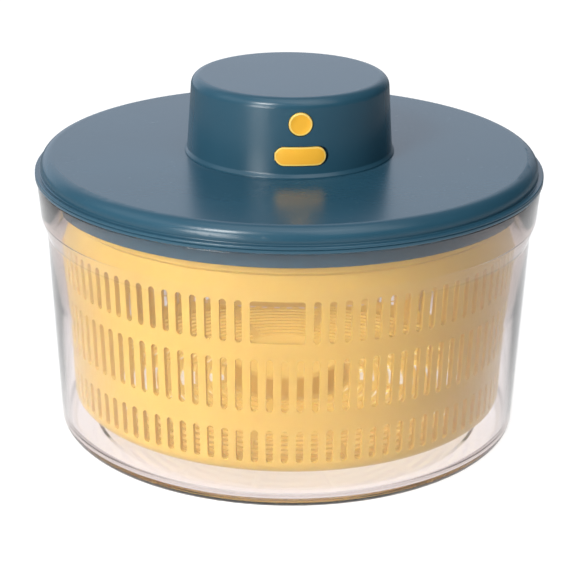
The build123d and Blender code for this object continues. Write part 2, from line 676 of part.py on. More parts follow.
NODES = {
    "bowl": bowl,
    "pivot_pin": pivot_pin,
    "thrust_ball": thrust_ball,
    "basket": basket,
    "basket_bearing": basket_bearing,
    "lid": lid,
    "motor_dome": motor_dome,
    "dome_screws": dome_screws,
    "gear_plate": gear_plate,
    "gear_plate_screws": gear_plate_screws,
    "motor_can": motor_can,
    "motor_end_cap": motor_end_cap,
    "motor_magnets": motor_magnets,
    "motor_screws": motor_screws,
    "motor_shaft": motor_shaft,
    "rotor_core": rotor_core,
    "commutator": commutator,
    "motor_pinion": motor_pinion,
    "idler_pin": lambda: rod(1.5, 129.0, 145.2, IDLER),
    "idler_gear": idler_gear,
    "output_gear": output_gear,
    "output_shaft": output_shaft,
    "upper_bearing": lambda: bush(PLATE_Z, 148.5),
    "lower_bearing": lambda: bush(127.4, 131.4),
    "shaft_seal": shaft_seal,
    "retaining_ring": retaining_ring,
    "drive_disc": drive_disc,
    "disc_screw": disc_screw,
    "battery_cell": battery_cell,
    "battery_cradle": battery_cradle,
    "battery_tabs": battery_tabs,
    "battery_leads": lambda: [wire(route, 0.8) for route in BATTERY_ROUTES],
    "motor_leads": lambda: [wire(route, 0.7) for route in MOTOR_ROUTES],
    "control_board": control_board,
    "board_screws": board_screws,
    "charge_socket": charge_socket,
    "switch_body": switch_body,
    "switch_plunger": switch_plunger,
    "power_button": power_button,
    "port_cover": port_cover,
}

os.makedirs("parts", exist_ok=True)
for name, make in NODES.items():
    made = make()
    pieces = made if isinstance(made, list) else [made]
    solids = [solid for piece in pieces for solid in piece.solids()]
    node = Compound(children=solids) if len(solids) > 1 else solids[0]
    export_step(node, f"parts/{name}.step")
    print(name, len(solids))
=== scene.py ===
# %% [markdown]
# # A battery-driven salad spinner
#
# The object is a clear bowl with a slotted yellow basket inside it, and a teal lid with a motor dome on top. Its
# engineering model comes in first and stays fixed: every joint, gear and screw is already where it belongs. What is
# left is the work of a model maker: a smoother bowl, softly rounded rubber and plastic, and a believable surface on
# every part.

# %% Load the fixed frame
import json
import math

import bmesh
import bpy
from mathutils import Matrix, Vector


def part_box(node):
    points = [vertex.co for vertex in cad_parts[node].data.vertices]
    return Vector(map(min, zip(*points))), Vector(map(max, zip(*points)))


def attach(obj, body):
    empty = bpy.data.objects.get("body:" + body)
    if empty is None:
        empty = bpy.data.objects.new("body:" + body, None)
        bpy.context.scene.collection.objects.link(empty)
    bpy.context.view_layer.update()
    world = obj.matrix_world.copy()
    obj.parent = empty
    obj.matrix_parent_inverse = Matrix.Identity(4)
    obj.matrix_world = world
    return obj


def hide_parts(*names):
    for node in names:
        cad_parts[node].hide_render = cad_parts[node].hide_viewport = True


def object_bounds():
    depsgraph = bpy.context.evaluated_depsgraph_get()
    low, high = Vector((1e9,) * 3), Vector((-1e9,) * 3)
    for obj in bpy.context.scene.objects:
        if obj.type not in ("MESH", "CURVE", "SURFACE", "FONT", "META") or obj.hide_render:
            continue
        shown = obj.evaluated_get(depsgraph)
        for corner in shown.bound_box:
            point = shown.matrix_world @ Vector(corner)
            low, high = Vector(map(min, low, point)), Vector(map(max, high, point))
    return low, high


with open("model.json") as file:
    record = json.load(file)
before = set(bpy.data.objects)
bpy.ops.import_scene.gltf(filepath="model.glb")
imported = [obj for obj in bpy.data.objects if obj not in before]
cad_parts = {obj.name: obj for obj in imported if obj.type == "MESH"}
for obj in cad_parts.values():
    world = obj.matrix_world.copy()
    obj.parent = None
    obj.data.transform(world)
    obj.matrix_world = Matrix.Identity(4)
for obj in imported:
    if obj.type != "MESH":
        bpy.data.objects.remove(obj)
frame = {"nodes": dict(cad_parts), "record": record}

nodes = frame["nodes"]
cad_low, cad_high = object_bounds()
print("parts", len(nodes), "size in mm", [round(1000 * s) for s in cad_high - cad_low])

# %% [markdown]
# ## Small tools
#
# Lengths are easiest to think of in millimetres, while the scene is in metres, so one factor turns one into the
# other. Operators act on whatever is selected, so each piece starts with nothing selected. Faces and edges are then
# picked in code, by where they lie, as a hand would pick them with the mouse.

# %% Selection tools
MM = 0.001
SMOOTH_BELOW = math.radians(32)


def deselect():
    """Leaves edit mode and selects nothing."""
    if bpy.context.object and bpy.context.object.mode != "OBJECT":
        bpy.ops.object.mode_set(mode="OBJECT")
    bpy.ops.object.select_all(action="DESELECT")


def only(piece):
    """Selects one piece and makes it the active one."""
    deselect()
    piece.select_set(True)
    bpy.context.view_layer.objects.active = piece


def pick(piece, kind, test):
    """In edit mode, selects the vertices, edges or faces whose middle passes the test, and returns how many."""
    mesh = bmesh.from_edit_mesh(piece.data)
    for group in (mesh.verts, mesh.edges, mesh.faces):
        for part in group:
            part.select_set(False)
    found = 0
    for part in getattr(mesh, kind):
        middle = part.co if kind == "verts" else sum((v.co for v in part.verts), Vector()) / len(part.verts)
        if test(middle, part):
            part.select_set(True)
            found += 1
    mesh.select_flush_mode()
    bmesh.update_edit_mesh(piece.data)
    return found


def use_modifier(piece, kind, **settings):
    """Adds a modifier, sets it and applies it at once."""
    only(piece)
    modifier = piece.modifiers.new(kind.title(), kind)
    for key, value in settings.items():
        setattr(modifier, key, value)
    bpy.ops.object.modifier_apply(modifier=modifier.name)


def settle(piece, body, slot, material, *stands_for):
    """Gives a finished piece its material, its body and the engineering parts that it stands for."""
    only(piece)
    bpy.ops.object.transform_apply(location=True, rotation=True, scale=True)
    bpy.ops.object.shade_smooth_by_angle(angle=SMOOTH_BELOW)
    piece.data.materials.clear()
    piece.data.materials.append(material)
    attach(piece, body)
    if stands_for:
        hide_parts(*stands_for)
    print(piece.name, "faces", len(piece.data.polygons), "on", body)

# %% [markdown]
# ## Camera
#
# A product picture is taken from far away with a long lens, so that the round lid stays calm and the sides stay
# nearly parallel. The camera stands a little to the left of the button and looks down at about twenty degrees. It
# aims slightly below the object's middle, which leaves the object a little high in the frame.

# %% Place the camera
AIM_HEIGHT = 0.090
CAMERA_DISTANCE = 0.9757
CAMERA_AZIMUTH = -6.0
CAMERA_ELEVATION = 19.56
AIM_BELOW = 1.228
CAMERA_ROLL = 0.608
LENS = 118.37
SENSOR_WIDTH = 36
NEAREST = 0.01

azimuth, elevation = math.radians(CAMERA_AZIMUTH), math.radians(CAMERA_ELEVATION)
away = Vector((
    math.sin(azimuth) * math.cos(elevation),
    -math.cos(azimuth) * math.cos(elevation),
    math.sin(elevation)))
camera_data = bpy.data.cameras.new("camera")
camera = bpy.data.objects.new("camera", camera_data)
bpy.context.scene.collection.objects.link(camera)
camera_data.lens = LENS
camera_data.sensor_width = SENSOR_WIDTH
camera_data.clip_start = NEAREST
tilt = math.radians(90 - CAMERA_ELEVATION - AIM_BELOW)
turn = Matrix.Rotation(azimuth, 4, "Z") @ Matrix.Rotation(tilt, 4, "X")
turn = turn @ Matrix.Rotation(math.radians(CAMERA_ROLL), 4, "Z")
camera.matrix_world = Matrix.Translation(Vector((0, 0, AIM_HEIGHT)) + away * CAMERA_DISTANCE) @ turn
bpy.context.scene.camera = camera
print("camera at", [round(x, 3) for x in camera.location])

# %% [markdown]
# ## Lights
#
# Gloss shows a lamp's shape, so the lamps are chosen for what the plastic should mirror. A small soft box high at the
# front left draws the crisp bright lines on every rounded edge. The dome's upright side only sees what stands level
# with it, so a second box, low down, draws the pale upright band there. Wide boxes at the front right and overhead,
# and a weak one on the left, fill the shadows. Light also soaks through the thin yellow walls of a real basket and is
# thrown about inside it, and comes up through the slots in its floor from the white table. Two large, faint, unseen
# lamps, one at the basket's mouth and one under its floor, do the same work in far less time.

# %% Set the lamps
def soft_box(name, azimuth_deg, elevation_deg, distance, size, power, colour=(1, 1, 1)):
    """Rectangular area light that looks at the object's middle; its size is its width and height."""
    a, e = math.radians(azimuth_deg), math.radians(elevation_deg)
    place = Vector((math.sin(a) * math.cos(e), -math.cos(a) * math.cos(e), math.sin(e))) * distance
    data = bpy.data.lights.new(name, "AREA")
    data.shape = "RECTANGLE"
    data.size, data.size_y = size
    data.energy = power
    data.color = colour
    light = bpy.data.objects.new(name, data)
    light.location = place + Vector((0, 0, AIM_HEIGHT))
    light.rotation_mode = "QUATERNION"
    light.rotation_quaternion = (-place).to_track_quat("-Z", "Y")
    bpy.context.scene.collection.objects.link(light)

# %% A lamp that is never seen
def inner_lamp(name, height, width, power, colour, upwards=False):
    """Round lamp on the axis that shines down, or up, but is never seen or mirrored."""
    data = bpy.data.lights.new(name, "AREA")
    data.shape = "DISK"
    data.size = width
    data.energy = power
    data.color = colour
    lamp = bpy.data.objects.new(name, data)
    lamp.location = (0, 0, height)
    lamp.rotation_euler = (math.pi if upwards else 0, 0, 0)
    lamp.visible_camera = False
    lamp.visible_glossy = False
    lamp.visible_transmission = False
    bpy.context.scene.collection.objects.link(lamp)


LAMP_DISTANCE = 1.5
TOP_DISTANCE = 1.6
WARM_WHITE = (1.0, 0.985, 0.96)
SOFT_WHITE = (1.0, 0.99, 0.97)
COOL_WHITE = (0.95, 0.98, 1.0)

soft_box("key_light", -39, 39, LAMP_DISTANCE, size=(0.36, 0.36), power=10.5, colour=WARM_WHITE)
soft_box("band_light", -40, 9, LAMP_DISTANCE, size=(0.46, 0.46), power=8.0, colour=WARM_WHITE)
soft_box("fill_light", 30, 52, LAMP_DISTANCE, size=(1.0, 1.0), power=3.7, colour=SOFT_WHITE)
soft_box("top_light", -10, 82, TOP_DISTANCE, size=(1.2, 1.2), power=4.9)
soft_box("left_light", -85, 35, LAMP_DISTANCE, size=(0.8, 0.8), power=1.2, colour=COOL_WHITE)

# %% Set the unseen lamps
inner_lamp("inner_light", height=0.108, width=0.17, power=0.17, colour=(1.0, 0.90, 0.80))
inner_lamp("under_light", height=0.009, width=0.20, power=0.22, colour=(0.86, 0.95, 1.12), upwards=True)
print("lamps", len(bpy.data.lights))

# %% [markdown]
# ## Floor and room
#
# The object stands on a pale sweep of paper. A real one is lit until it is blank white near the object, and falls
# away into the dark of the room further out. So the paper glows in full for the eye, while a reflection sees it fade
# between 0.40 and 0.55 m out. Through the clear bowl it is white under the foot, and further back it carries a
# painted warm grey shade, which is what makes the bowl's walls stand out against a white page. The room is bright
# behind the object, which lays a pale blue-grey sheen over the flat lid at this low angle, dimmer on the left, and
# dark on the right, where the dome falls into shade.
#
# A ray knows how it came: the light path node tells the eye's own rays from mirrored ones, and counts how often a ray
# has gone through plastic. Both the paper and the room use it, so one helper builds the small sums.

# %% One step of arithmetic between nodes
def arithmetic(tree, operation, first, second, clamp=False):
    """Math node whose second value is either a number or another node's output."""
    node = tree.nodes.new("ShaderNodeMath")
    node.operation = operation
    node.use_clamp = clamp
    tree.links.new(first, node.inputs[0])
    if isinstance(second, float):
        node.inputs[1].default_value = second
    else:
        tree.links.new(second, node.inputs[1])
    return node.outputs[0]


# %% Lay the floor
FLOOR_SIZE = 8.0
PAPER_GREY = (0.35, 0.35, 0.35)
PAPER_ROUGHNESS = 0.9
PAPER_SHEEN = 0.1

deselect()
bpy.ops.mesh.primitive_plane_add(size=FLOOR_SIZE, location=(0, 0, cad_low.z))
floor = bpy.context.object
floor.name = "floor"
paper = bpy.data.materials.new("paper")
paper.use_nodes = True
paper_shader = paper.node_tree.nodes["Principled BSDF"]
paper_shader.inputs["Base Color"].default_value = (*PAPER_GREY, 1)
paper_shader.inputs["Roughness"].default_value = PAPER_ROUGHNESS
paper_shader.inputs["Specular IOR Level"].default_value = PAPER_SHEEN
floor.data.materials.append(paper)
print("floor", FLOOR_SIZE, "m wide at height", round(floor.location.z, 4))

# %% Make the paper glow
PAPER_GLOW = 0.86
FAR_PAPER_GLOW = 0.04
FADE_START, FADE_END = 0.40, 0.55

paper_tree = paper.node_tree
paper_place = paper_tree.nodes.new("ShaderNodeTexCoord")
far_out = paper_tree.nodes.new("ShaderNodeVectorMath")
far_out.operation = "LENGTH"
paper_tree.links.new(paper_place.outputs["Object"], far_out.inputs[0])
fading = paper_tree.nodes.new("ShaderNodeMapRange")
fading.inputs["From Min"].default_value = FADE_START
fading.inputs["From Max"].default_value = FADE_END
fading.inputs["To Min"].default_value = PAPER_GLOW
fading.inputs["To Max"].default_value = FAR_PAPER_GLOW
paper_tree.links.new(far_out.outputs["Value"], fading.inputs["Value"])
paper_path = paper_tree.nodes.new("ShaderNodeLightPath")
times_through = paper_path.outputs["Transmission Depth"]
mirrored = arithmetic(paper_tree, "SUBTRACT", paper_path.outputs["Is Glossy Ray"], times_through, clamp=True)
paper_glow = paper_tree.nodes.new("ShaderNodeMapRange")
paper_glow.inputs["To Min"].default_value = PAPER_GLOW
paper_tree.links.new(mirrored, paper_glow.inputs["Value"])
paper_tree.links.new(fading.outputs[0], paper_glow.inputs["To Max"])
paper_tree.links.new(paper_glow.outputs[0], paper_shader.inputs["Emission Strength"])
print("paper glows", PAPER_GLOW, "near and", FAR_PAPER_GLOW, "far out")

# %% Paint a warm shade on the paper that is seen through plastic
THROUGH_START, THROUGH_END = 0.16, 0.28
FAR_PAPER_SHADE_THROUGH = (0.46, 0.35, 0.29)

through = paper_tree.nodes.new("ShaderNodeMapRange")
through.inputs["From Min"].default_value = THROUGH_START
through.inputs["From Max"].default_value = THROUGH_END
paper_tree.links.new(far_out.outputs["Value"], through.inputs["Value"])
# painted shade: further back, paper seen through plastic glows a darker warm grey instead of white
painted_shade_share = arithmetic(paper_tree, "MULTIPLY", through.outputs[0], times_through, clamp=True)
paper_colour = paper_tree.nodes.new("ShaderNodeMix")
paper_colour.data_type = "RGBA"
paper_colour.inputs["A"].default_value = (1, 1, 1, 1)
paper_colour.inputs["B"].default_value = (*FAR_PAPER_SHADE_THROUGH, 1)
paper_tree.links.new(painted_shade_share, paper_colour.inputs["Factor"])
paper_tree.links.new(paper_colour.outputs["Result"], paper_shader.inputs["Emission Color"])
print("paper nodes", len(paper_tree.nodes))

# %% Paint the room
BEHIND_GLOW = 0.93
LEFT_GLOW = 0.20
ABOVE_GLOW = 0.36
RIGHT_SHADE = 0.85
ROOM_TINT = (0.94, 1.0, 1.14, 1)

world = bpy.data.worlds.new("room")
bpy.context.scene.world = world
world.use_nodes = True
tree = world.node_tree
tree.nodes.clear()
place = tree.nodes.new("ShaderNodeTexCoord")
split = tree.nodes.new("ShaderNodeSeparateXYZ")
tree.links.new(place.outputs["Generated"], split.inputs[0])


def room_wall(side, start, stop, glow):
    """Brightness that grows from 0 to glow as a ray's direction turns towards one side of the room."""
    wall = tree.nodes.new("ShaderNodeMapRange")
    wall.interpolation_type = "SMOOTHSTEP"
    wall.inputs["From Min"].default_value = start
    wall.inputs["From Max"].default_value = stop
    wall.inputs["To Max"].default_value = glow
    tree.links.new(split.outputs[side], wall.inputs["Value"])
    return wall.outputs[0]


behind = room_wall("Y", start=0.45, stop=0.85, glow=BEHIND_GLOW)
left = room_wall("X", start=-0.35, stop=-0.95, glow=LEFT_GLOW)
above = room_wall("Z", start=0.08, stop=0.7, glow=ABOVE_GLOW)
right_shade = room_wall("X", start=0.15, stop=0.75, glow=-RIGHT_SHADE)
everywhere = arithmetic(tree, "MAXIMUM", arithmetic(tree, "MAXIMUM", behind, left), above)
shaded = arithmetic(tree, "ADD", arithmetic(tree, "MULTIPLY", everywhere, right_shade), everywhere)
room_glow = tree.nodes.new("ShaderNodeBackground")
room_glow.inputs["Color"].default_value = ROOM_TINT
tree.links.new(shaded, room_glow.inputs["Strength"])
print("room glows from", BEHIND_GLOW, "behind to", LEFT_GLOW, "on the left")

# %% Show a white backdrop to the eye
backdrop = tree.nodes.new("ShaderNodeBackground")
backdrop.inputs["Color"].default_value = (1, 1, 1, 1)
path = tree.nodes.new("ShaderNodeLightPath")
went_through = path.outputs["Transmission Depth"]
inside_plastic = arithmetic(tree, "MULTIPLY", path.outputs["Is Glossy Ray"], went_through, clamp=True)
seen = arithmetic(tree, "MAXIMUM", path.outputs["Is Camera Ray"], inside_plastic)
mix = tree.nodes.new("ShaderNodeMixShader")
out = tree.nodes.new("ShaderNodeOutputWorld")
tree.links.new(seen, mix.inputs[0])
tree.links.new(room_glow.outputs[0], mix.inputs[1])
tree.links.new(backdrop.outputs[0], mix.inputs[2])
tree.links.new(mix.outputs[0], out.inputs[0])
bpy.context.scene.view_settings.view_transform = "Standard"
print("room nodes", len(tree.nodes))

# %% [markdown]
# ## Finishes
#
# Moulded plastic is never one flat colour. Its gloss wavers where the mould was polished, its colour drifts a little
# where the melt flowed, and handling leaves hair-fine scratches. Each finish below is a node tree that reads Object
# coordinates, so a pattern keeps its size in millimetres and stays on the piece when it moves.

# %% Start a finish
def new_material(name):
    """New material, with its shader and its object coordinates."""
    material = bpy.data.materials.new(name)
    material.use_nodes = True
    shader = material.node_tree.nodes["Principled BSDF"]
    coordinates = material.node_tree.nodes.new("ShaderNodeTexCoord")
    return material, shader, coordinates.outputs["Object"]


def noise(tree, where, scale, detail=3.0, rough=0.5, stretch=(1, 1, 1)):
    """Noise of a given scale per metre, stretched along the axes."""
    mapping = tree.nodes.new("ShaderNodeMapping")
    mapping.inputs["Scale"].default_value = stretch
    texture = tree.nodes.new("ShaderNodeTexNoise")
    texture.inputs["Scale"].default_value = scale
    texture.inputs["Detail"].default_value = detail
    texture.inputs["Roughness"].default_value = rough
    tree.links.new(where, mapping.inputs[0])
    tree.links.new(mapping.outputs[0], texture.inputs["Vector"])
    return texture.outputs["Fac"]


# %% Turn noise into colour, gloss and relief
def ramp_between(tree, factor, low, high, start=0.35, stop=0.65):
    """Colour that runs from low to high as the factor goes from start to stop."""
    ramp = tree.nodes.new("ShaderNodeValToRGB")
    ramp.color_ramp.elements[0].position = start
    ramp.color_ramp.elements[0].color = (*low, 1)
    ramp.color_ramp.elements[1].position = stop
    ramp.color_ramp.elements[1].color = (*high, 1)
    tree.links.new(factor, ramp.inputs[0])
    return ramp.outputs[0]


def spread(tree, factor, low, high):
    """Number that runs from low to high as the factor goes from 0 to 1."""
    node = tree.nodes.new("ShaderNodeMapRange")
    node.inputs["To Min"].default_value = low
    node.inputs["To Max"].default_value = high
    tree.links.new(factor, node.inputs["Value"])
    return node.outputs[0]


def add_bump(tree, shader, height, strength, depth):
    """Bump of a depth in metres on the shader's normal."""
    bump = tree.nodes.new("ShaderNodeBump")
    bump.inputs["Strength"].default_value = strength
    bump.inputs["Distance"].default_value = depth
    tree.links.new(height, bump.inputs["Height"])
    tree.links.new(bump.outputs[0], shader.inputs["Normal"])


# %% Moulded plastic
GRAIN_DEPTH = 0.00005
SOAK_BY_COLOUR = (1.0, 0.65, 0.25)


def moulded(name, colour, drift, gloss, grain, grain_scale=1400, glow=0.0, glow_depth=0.0):
    """Moulded plastic: drifting colour, wavering gloss, fine grain and faint scratches; glow lets light soak in."""
    material, shader, where = new_material(name)
    tree = material.node_tree
    drifting = noise(tree, where, scale=22, detail=4)
    low = [c * (1 - drift) for c in colour]
    high = [min(1, c * (1 + drift)) for c in colour]
    tree.links.new(ramp_between(tree, drifting, low, high), shader.inputs["Base Color"])
    scratches = noise(tree, where, scale=260, detail=6, rough=0.7, stretch=(1, 7, 3))
    tree.links.new(spread(tree, scratches, *gloss), shader.inputs["Roughness"])
    add_bump(tree, shader, noise(tree, where, grain_scale, detail=2), grain, GRAIN_DEPTH)
    if glow:
        shader.inputs["Subsurface Weight"].default_value = glow
        shader.inputs["Subsurface Radius"].default_value = SOAK_BY_COLOUR
        shader.inputs["Subsurface Scale"].default_value = glow_depth
    return material


# %% Metal
BRUSH_DEPTH = 0.00003
STAIN_SHADE = 0.85


def metal(name, colour, gloss=(0.22, 0.42), brush=(1, 1, 30), grain=0.15, scale=300):
    """Metal with fine drawn or turned lines and a little staining."""
    material, shader, where = new_material(name)
    tree = material.node_tree
    lines = noise(tree, where, scale, detail=6, rough=0.6, stretch=brush)
    stain = noise(tree, where, scale=60, detail=3)
    stained = [c * STAIN_SHADE for c in colour]
    tree.links.new(ramp_between(tree, stain, stained, colour), shader.inputs["Base Color"])
    tree.links.new(spread(tree, lines, *gloss), shader.inputs["Roughness"])
    add_bump(tree, shader, lines, grain, BRUSH_DEPTH)
    shader.inputs["Metallic"].default_value = 1.0
    return material


# %% Clear plastic
CLEAR_IOR = 1.49
CLEAR_DEPTH_COLOUR = (0.50, 0.40, 0.38)
CLEAR_DENSITY = 90
CLOUD_SHADE = 0.985


def clear_plastic(name, tint, shadow_tint):
    """Clear polished plastic: it bends light, holds a few hairlines, and lets lamps through to what is inside."""
    material, shader, where = new_material(name)
    tree = material.node_tree
    hairlines = noise(tree, where, scale=180, detail=8, rough=0.75, stretch=(1, 1, 9))
    tree.links.new(spread(tree, hairlines, low=0.0, high=0.07), shader.inputs["Roughness"])
    clouds = noise(tree, where, scale=14, detail=3)
    clouded = [c * CLOUD_SHADE for c in tint]
    tree.links.new(ramp_between(tree, clouds, clouded, tint), shader.inputs["Base Color"])
    add_bump(tree, shader, noise(tree, where, scale=55, detail=2), strength=0.02, depth=0.0004)
    shader.inputs["Transmission Weight"].default_value = 1.0
    shader.inputs["IOR"].default_value = CLEAR_IOR
    depth = tree.nodes.new("ShaderNodeVolumeAbsorption")
    depth.inputs["Color"].default_value = (*CLEAR_DEPTH_COLOUR, 1)
    depth.inputs["Density"].default_value = CLEAR_DENSITY
    tree.links.new(depth.outputs[0], tree.nodes["Material Output"].inputs["Volume"])
    light_path = tree.nodes.new("ShaderNodeLightPath")
    passing = tree.nodes.new("ShaderNodeBsdfTransparent")
    passing.inputs["Color"].default_value = (*shadow_tint, 1)
    mixed = tree.nodes.new("ShaderNodeMixShader")
    tree.links.new(light_path.outputs["Is Shadow Ray"], mixed.inputs[0])
    tree.links.new(shader.outputs[0], mixed.inputs[1])
    tree.links.new(passing.outputs[0], mixed.inputs[2])
    tree.links.new(mixed.outputs[0], tree.nodes["Material Output"].inputs["Surface"])
    return material


# %% [markdown]
# The button and the cover get a painted highlight at their rims: the colour turns paler there, standing in for the
# light that the rounded rims catch. The distance to the middle of the piece is worked out in nodes, and the colour is
# faded with it.

# %% Painted highlight on the rims of the soft yellow parts
def paint_rim_highlight(material, centre, half_run, start, stop, pale):
    """Paints a highlight on a finish: a paler colour near the rim of a pill that is half_run long each way about its
    centre.
    """
    tree = material.node_tree
    shader = tree.nodes["Principled BSDF"]
    where = tree.nodes.new("ShaderNodeTexCoord").outputs["Object"]
    axes = tree.nodes.new("ShaderNodeSeparateXYZ")
    tree.links.new(where, axes.inputs[0])

    aside = arithmetic(tree, "SUBTRACT", axes.outputs["X"], float(centre[0]))
    either_side = arithmetic(tree, "MAXIMUM", aside, arithmetic(tree, "MULTIPLY", aside, -1.0))
    past_end = arithmetic(tree, "SUBTRACT", either_side, float(half_run), clamp=True)
    raised = arithmetic(tree, "SUBTRACT", axes.outputs["Z"], float(centre[1]))
    across, up = arithmetic(tree, "POWER", past_end, 2.0), arithmetic(tree, "MULTIPLY", raised, raised)
    squares = arithmetic(tree, "ADD", across, up)
    rim = tree.nodes.new("ShaderNodeMapRange")
    rim.interpolation_type = "SMOOTHSTEP"
    rim.inputs["From Min"].default_value = start
    rim.inputs["From Max"].default_value = stop
    tree.links.new(arithmetic(tree, "SQRT", squares, 0.0), rim.inputs["Value"])
    blend = tree.nodes.new("ShaderNodeMix")
    blend.data_type = "RGBA"
    blend.inputs["B"].default_value = (*pale, 1)
    old = shader.inputs["Base Color"].links[0].from_socket
    tree.links.new(rim.outputs[0], blend.inputs["Factor"])
    tree.links.new(old, blend.inputs["A"])
    tree.links.new(blend.outputs["Result"], shader.inputs["Base Color"])


# %% [markdown]
# Colours are set once, for each finish that the record names. The teal of the lid and the warm yellow of the basket
# carry the whole look.

# %% Make the finishes
TEAL = (0.022, 0.080, 0.124)
YELLOW = (0.69, 0.49, 0.115)
BUTTON_YELLOW = (0.98, 0.50, 0.035)

PLASTICS = {
    "basket_yellow": dict(colour=YELLOW, drift=0.03, gloss=(0.34, 0.44), grain=0.04, grain_scale=900, glow=0.35,
                          glow_depth=0.004),
    "lid_blue": dict(colour=TEAL, drift=0.04, gloss=(0.22, 0.30), grain=0.05),
    "button_yellow": dict(colour=BUTTON_YELLOW, drift=0.03, gloss=(0.36, 0.46), grain=0.06, grain_scale=1800,
                          glow=0.2, glow_depth=0.002),
    "cover_yellow": dict(colour=BUTTON_YELLOW, drift=0.03, gloss=(0.46, 0.58), grain=0.12, grain_scale=2200,
                         glow=0.2, glow_depth=0.002),
    "inner_plastic": dict(colour=(0.035, 0.10, 0.15), drift=0.06, gloss=(0.45, 0.6), grain=0.12, grain_scale=1100),
    "acetal": dict(colour=(0.80, 0.79, 0.75), drift=0.02, gloss=(0.35, 0.5), grain=0.05, grain_scale=900, glow=0.3,
                   glow_depth=0.002),
    "black_plastic": dict(colour=(0.018, 0.018, 0.02), drift=0.1, gloss=(0.4, 0.6), grain=0.15, grain_scale=1500),
    "black_rubber": dict(colour=(0.012, 0.012, 0.012), drift=0.1, gloss=(0.6, 0.8), grain=0.2, grain_scale=1800),
    "cell_wrap": dict(colour=(0.05, 0.22, 0.34), drift=0.05, gloss=(0.2, 0.3), grain=0.03, grain_scale=700),
    "lead_red": dict(colour=(0.45, 0.02, 0.015), drift=0.08, gloss=(0.4, 0.55), grain=0.1, grain_scale=1500),
    "lead_black": dict(colour=(0.02, 0.02, 0.02), drift=0.08, gloss=(0.4, 0.55), grain=0.1, grain_scale=1500),
    "board_green": dict(colour=(0.012, 0.12, 0.045), drift=0.12, gloss=(0.3, 0.45), grain=0.1, grain_scale=2500),
}
METALS = {
    "steel": dict(colour=(0.56, 0.56, 0.58)),
    "ball_steel": dict(colour=(0.72, 0.72, 0.74), gloss=(0.08, 0.16), brush=(1, 1, 1), grain=0.02),
    "screw_steel": dict(colour=(0.50, 0.50, 0.48), gloss=(0.3, 0.5), brush=(1, 1, 4)),
    "nickel": dict(colour=(0.66, 0.63, 0.56), gloss=(0.25, 0.4), brush=(1, 12, 1)),
    "magnet": dict(colour=(0.07, 0.07, 0.075), gloss=(0.5, 0.7), brush=(1, 1, 1), grain=0.3),
    "rotor_iron": dict(colour=(0.26, 0.25, 0.24), gloss=(0.35, 0.55), brush=(1, 1, 60), grain=0.5),
    "copper": dict(colour=(0.80, 0.38, 0.20), gloss=(0.25, 0.45)),
    "brass": dict(colour=(0.80, 0.58, 0.22), gloss=(0.22, 0.38)),
    "bronze": dict(colour=(0.55, 0.36, 0.17), gloss=(0.4, 0.6), brush=(1, 1, 1), grain=0.3, scale=700),
}
CLEAR_TINT = (1.0, 0.985, 0.99)
CLEAR_SHADOW = (0.96, 0.94, 0.94)

finishes = {"clear_bowl": clear_plastic("clear_bowl", CLEAR_TINT, CLEAR_SHADOW)}
finishes.update({name: moulded(name, **look) for name, look in PLASTICS.items()})
finishes.update({name: metal(name, **look) for name, look in METALS.items()})
print("finishes", len(finishes))

# %% Paint the rim highlights and give every part its finish
RIM_HIGHLIGHT_YELLOW = (1.0, 0.68, 0.17)
button_low, button_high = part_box("power_button")
cover_low, cover_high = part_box("port_cover")
COVER_R = 4.45 * MM
BUTTON_HIGHLIGHT_FROM, BUTTON_HIGHLIGHT_TO = 4.6 * MM, 5.1 * MM
COVER_HIGHLIGHT_FROM, COVER_HIGHLIGHT_TO = COVER_R - 0.9 * MM, COVER_R - 0.4 * MM
button_middle = (0.0, (button_low.z + button_high.z) / 2)
cover_middle = ((cover_low.x + cover_high.x) / 2, (cover_low.z + cover_high.z) / 2)
cover_run = (cover_high.x - cover_low.x) / 2 - COVER_R
# painted highlight: the rims of the button and the cover are made a paler yellow, as if they caught the light
paint_rim_highlight(finishes["button_yellow"], button_middle, 0.0, BUTTON_HIGHLIGHT_FROM, BUTTON_HIGHLIGHT_TO, RIM_HIGHLIGHT_YELLOW)
paint_rim_highlight(finishes["cover_yellow"], cover_middle, cover_run, COVER_HIGHLIGHT_FROM, COVER_HIGHLIGHT_TO, RIM_HIGHLIGHT_YELLOW)

for part in frame["record"]["subparts"]:
    mesh = nodes[part["node"]].data
    mesh.materials.clear()
    mesh.materials.append(finishes[part["material_slot"]])

# %% [markdown]
# ## The clear bowl
#
# The bowl is injection moulded in a clear plastic: a thin wall that widens upwards, a small step near the top where
# the rim band begins, and a foot ring that it stands on. A round body like this is drawn as half of its section and
# then spun about the axis. The other ways, such as scaling rings of a cylinder, leave the wall's thickness to chance,
# and a clear wall shows every mistake in it. Many more steps go round than a painted part would need, because light
# that bends through flat facets makes stripes.

# %% A lathe
def draw_section(name, corners):
    """Wire through (radius, height) corners in millimetres, made by extruding one vertex along."""
    deselect()
    bpy.ops.mesh.primitive_plane_add(size=MM)
    piece = bpy.context.object
    piece.name = name
    bpy.ops.object.mode_set(mode="EDIT")
    bpy.ops.mesh.select_mode(type="VERT")
    pick(piece, "verts", lambda place, part: part.index > 0)
    bpy.ops.mesh.delete(type="VERT")
    bpy.ops.mesh.select_all(action="SELECT")
    here = bmesh.from_edit_mesh(piece.data).verts[:][0].co.copy()
    places = [Vector((corner[0] * MM, 0, corner[1] * MM)) for corner in corners]
    bpy.ops.transform.translate(value=places[0] - here)
    for before, after in zip(places, places[1:]):
        bpy.ops.mesh.extrude_vertices_move(TRANSFORM_OT_translate={"value": after - before})
    return piece


# %% Round the section's corners
SAME_PLACE = 0.0001 * MM


